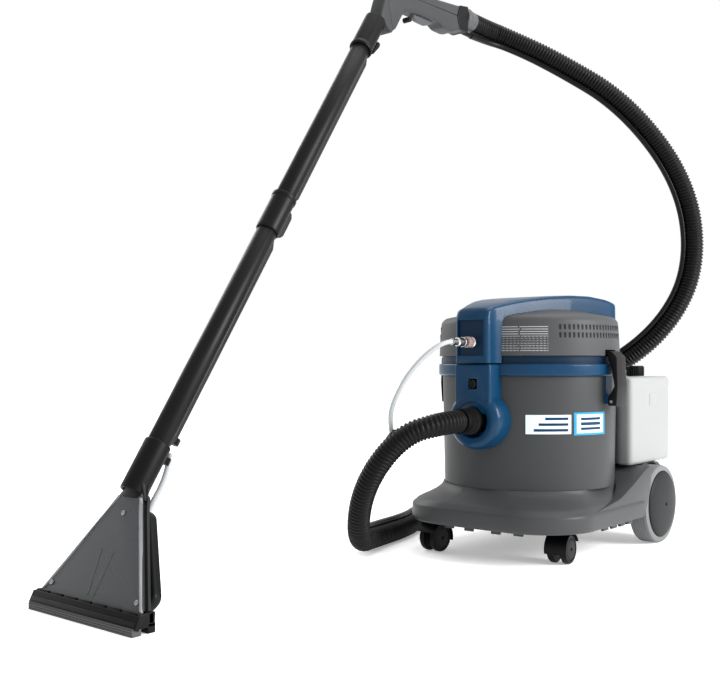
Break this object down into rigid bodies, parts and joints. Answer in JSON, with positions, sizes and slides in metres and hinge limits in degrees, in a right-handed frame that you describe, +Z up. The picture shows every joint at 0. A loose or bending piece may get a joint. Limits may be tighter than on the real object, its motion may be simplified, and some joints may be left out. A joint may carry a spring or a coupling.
{
  "type": "spray extraction carpet cleaner",
  "caption": "Wheeled spray extraction carpet cleaner with a drum, lift-off motor head, solution tank, hose and upright wand.",
  "frame": {"origin": "on the floor, under the middle of the machine and its wand without the hoses", "axes": "+Z up; -Y is the machine's front, where the hose goes in; +X is the right of someone who faces the front"},
  "size_m": [0.5686, 1.4818, 1.207],
  "materials": {
    "drum_grey": "satin",
    "blue_plastic": "gloss",
    "head_grey": "satin",
    "base_grey": "satin",
    "black_rubber": "matte",
    "dark_blue_plastic": "satin",
    "tyre_grey": "matte",
    "hub_grey": "satin",
    "tank_white": "satin",
    "clear_plastic": "gloss",
    "bright_steel": "satin",
    "brass_fitting": "satin",
    "coupler_metal": "gloss",
    "pink_collar": "satin",
    "wand_grey": "satin",
    "light_grey": "satin",
    "hose_black": "satin",
    "black_plastic": "satin"
  },
  "bodies": {
    "machine": {"axle": "bright_steel", "base_shell": "base_grey", "clear_line": "clear_plastic", "coupler_plug": "coupler_metal", "drum": "drum_grey", "handle_grip": "wand_grey", "handle_socket": "wand_grey", "hose_cuff_tank": "black_plastic", "inlet_boss": "blue_plastic", "inlet_elbow": "black_plastic", "joint_collar": "wand_grey", "latch_pins": "bright_steel", "lid_gasket": "black_rubber", "line_joint": "black_plastic", "line_nipple": "black_plastic", "lower_tube": "wand_grey", "nozzle_body": "wand_grey", "nozzle_clamp": "black_plastic", "nozzle_lip": "light_grey", "nozzle_screws": "bright_steel", "nozzle_throat": "black_plastic", "nozzle_window": "clear_plastic", "pillar_plug": "black_plastic", "pump": "black_plastic", "solution_line": "hose_black", "spray_guard": "wand_grey", "spray_tube": "clear_plastic", "suction_hose": "hose_black", "tank_ring": "blue_plastic", "upper_tube": "wand_grey", "wand_valve": "black_plastic"},
    "wheel_left": {"rear_wheel_left": "tyre_grey", "hub_cap_left": "hub_grey"},
    "wheel_right": {"rear_wheel_right": "tyre_grey", "hub_cap_right": "hub_grey"},
    "caster_left": {"caster_bracket_left": "black_plastic"},
    "caster_right": {"caster_bracket_right": "black_plastic"},
    "caster_pair_left": {"caster_wheels_left": "tyre_grey"},
    "caster_pair_right": {"caster_wheels_right": "tyre_grey"},
    "head": {"motor_deck": "dark_blue_plastic", "head_cover": "head_grey", "spine_cover": "blue_plastic", "motor_housing": "black_plastic", "float_cage": "black_plastic", "quick_coupler": "brass_fitting", "mains_gland": "black_plastic"},
    "rotor": {"motor_rotor": "bright_steel"},
    "float": {"float_cup": "black_plastic"},
    "coupler_sleeve": {"coupler_collar": "pink_collar"},
    "vacuum_rocker": {"vacuum_switch": "black_plastic"},
    "pump_rocker": {"pump_switch": "black_plastic"},
    "latch_left": {"latch_lever_left": "black_plastic"},
    "latch_right": {"latch_lever_right": "black_plastic"},
    "tank": {"solution_tank": "tank_white", "tank_valve": "black_plastic"},
    "cap": {"tank_cap": "black_plastic"},
    "tube_button": {"joint_button": "black_plastic"},
    "handle_clip": {"socket_button": "black_plastic"},
    "spray_trigger": {"trigger": "light_grey"},
    "cuff": {"hose_cuff_wand": "light_grey"}
  },
  "joints": [
    {"name": "wheel_left_spin", "type": "hinge", "parent": "machine", "child": "wheel_left", "pos_m": [-0.1005, 0.544, 0.0835], "axis": [1, 0, 0], "continuous": true},
    {"name": "wheel_right_spin", "type": "hinge", "parent": "machine", "child": "wheel_right", "pos_m": [0.2415, 0.544, 0.0835], "axis": [1, 0, 0], "continuous": true},
    {"name": "caster_left_swivel", "type": "hinge", "parent": "machine", "child": "caster_left", "pos_m": [-0.0615, 0.181, 0.06], "axis": [0, 0, 1], "continuous": true},
    {"name": "caster_right_swivel", "type": "hinge", "parent": "machine", "child": "caster_right", "pos_m": [0.2025, 0.181, 0.06], "axis": [0, 0, 1], "continuous": true},
    {"name": "caster_left_roll", "type": "hinge", "parent": "caster_left", "child": "caster_pair_left", "pos_m": [-0.06324, 0.15606, 0.0285], "axis": [-0.9976, 0.0698, 0], "continuous": true},
    {"name": "caster_right_roll", "type": "hinge", "parent": "caster_right", "child": "caster_pair_right", "pos_m": [0.20076, 0.20594, 0.0285], "axis": [0.9976, 0.0698, 0], "continuous": true},
    {"name": "head_lift", "type": "slide", "parent": "machine", "child": "head", "axis": [0, 0, 1], "range_m": [0, 0.2]},
    {"name": "rotor_spin", "type": "hinge", "parent": "head", "child": "rotor", "pos_m": [0.0705, 0.326, 0.44], "axis": [0, 0, 1], "continuous": true},
    {"name": "float_rise", "type": "slide", "parent": "head", "child": "float", "axis": [0, 0, 1], "range_m": [0, 0.055]},
    {"name": "coupler_pull", "type": "slide", "parent": "head", "child": "coupler_sleeve", "axis": [0, 1, 0], "range_m": [0, 0.005], "stiffness_N_per_m": 200},
    {"name": "vacuum_rocker_tilt", "type": "hinge", "parent": "head", "child": "vacuum_rocker", "pos_m": [0.0465, 0.422, 0.514], "axis": [1, 0, 0], "range_deg": [-8, 8]},
    {"name": "pump_rocker_tilt", "type": "hinge", "parent": "head", "child": "pump_rocker", "pos_m": [0.0945, 0.422, 0.514], "axis": [1, 0, 0], "range_deg": [-8, 8]},
    {"name": "latch_left_swing", "type": "hinge", "parent": "machine", "child": "latch_left", "pos_m": [-0.1245, 0.306, 0.312], "axis": [0, -1, 0], "range_deg": [0, 75]},
    {"name": "latch_right_swing", "type": "hinge", "parent": "machine", "child": "latch_right", "pos_m": [0.2655, 0.306, 0.312], "axis": [0, 1, 0], "range_deg": [0, 75]},
    {"name": "tank_lift", "type": "slide", "parent": "machine", "child": "tank", "axis": [0, 0, 1], "range_m": [0, 0.25]},
    {"name": "tank_cap_turn", "type": "hinge", "parent": "tank", "child": "cap", "pos_m": [0.1905, 0.568, 0.37], "axis": [0, 0, 1], "continuous": true},
    {"name": "tube_button_press", "type": "slide", "parent": "machine", "child": "tube_button", "axis": [0, -0.829, 0.5592], "range_m": [0, 0.002], "stiffness_N_per_m": 400},
    {"name": "handle_clip_rock", "type": "hinge", "parent": "machine", "child": "handle_clip", "pos_m": [-0.1475, 0.0594, 1.02865], "axis": [1, 0, 0], "range_deg": [0, 5], "stiffness_Nm_per_rad": 0.5},
    {"name": "trigger_squeeze", "type": "hinge", "parent": "machine", "child": "spray_trigger", "pos_m": [-0.1475, 0.256, 1.14], "axis": [-1, 0, 0], "range_deg": [0, 4], "stiffness_Nm_per_rad": 0.8},
    {"name": "cuff_swivel", "type": "hinge", "parent": "machine", "child": "cuff", "pos_m": [-0.1475, 0.401, 1.182], "axis": [0, 1, 0], "continuous": true}
  ]
}
